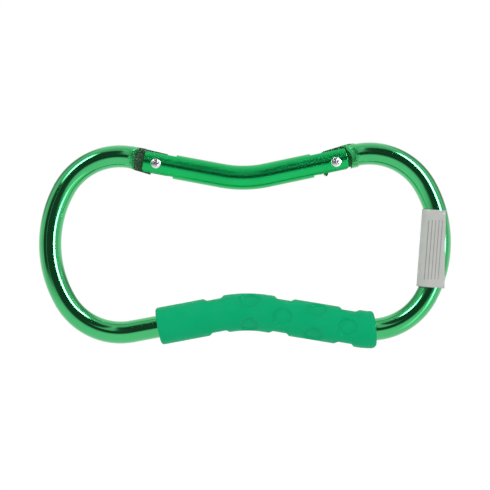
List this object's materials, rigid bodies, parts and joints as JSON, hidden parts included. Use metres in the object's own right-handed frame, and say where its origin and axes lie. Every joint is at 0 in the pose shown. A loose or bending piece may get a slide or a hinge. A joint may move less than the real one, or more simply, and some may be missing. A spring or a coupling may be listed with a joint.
{
  "type": "jumbo carabiner",
  "caption": "Large peanut-shaped snap hook of anodised rod with a V-bent sprung gate, a dimpled rubber grip and a blank paper label, for hanging and carrying bags.",
  "frame": {"origin": "centre of the whole part's box, in the middle plane of the rod", "axes": "+X along the hook from its latch lobe towards its hinge lobe, +Y through the loop's thickness away from the front, +Z from the grip towards the gate"},
  "size_m": [0.1656, 0.0152, 0.0828],
  "materials": {
    "frame_green": "bright green anodised",
    "gate_green": "bright green anodised",
    "rivet_steel": "polished",
    "spring_steel": "plain drawn wire",
    "plunger_brass": "turned",
    "grip_rubber": "smooth soft rubber",
    "label_paper": "coated paper"
  },
  "bodies": {
    "frame_body": {"frame": "frame_green", "grip_sleeve": "grip_rubber", "paper_label": "label_paper"},
    "gate_body": {"gate": "gate_green", "hinge_rivet": "rivet_steel", "latch_rivet": "rivet_steel", "gate_spring": "spring_steel"},
    "plunger_body": {"spring_plunger": "plunger_brass"}
  },
  "joints": [
    {"name": "gate_hinge", "type": "hinge", "parent": "frame_body", "child": "gate_body", "pos_m": [0.03678, 0, 0.03338], "axis": [0, -1, 0], "range_deg": [0, 25], "stiffness_Nm_per_rad": 0.08, "springref_deg": -42.97},
    {"name": "plunger_slide", "type": "slide", "parent": "gate_body", "child": "plunger_body", "axis": [-0.981, 0, -0.1942], "range_m": [0, 0.00065], "deforming": ["gate_spring"]}
  ],
  "couplings": [
    {"joint": "plunger_slide", "follows": "gate_hinge", "m_per_rad": 0.0014}
  ]
}
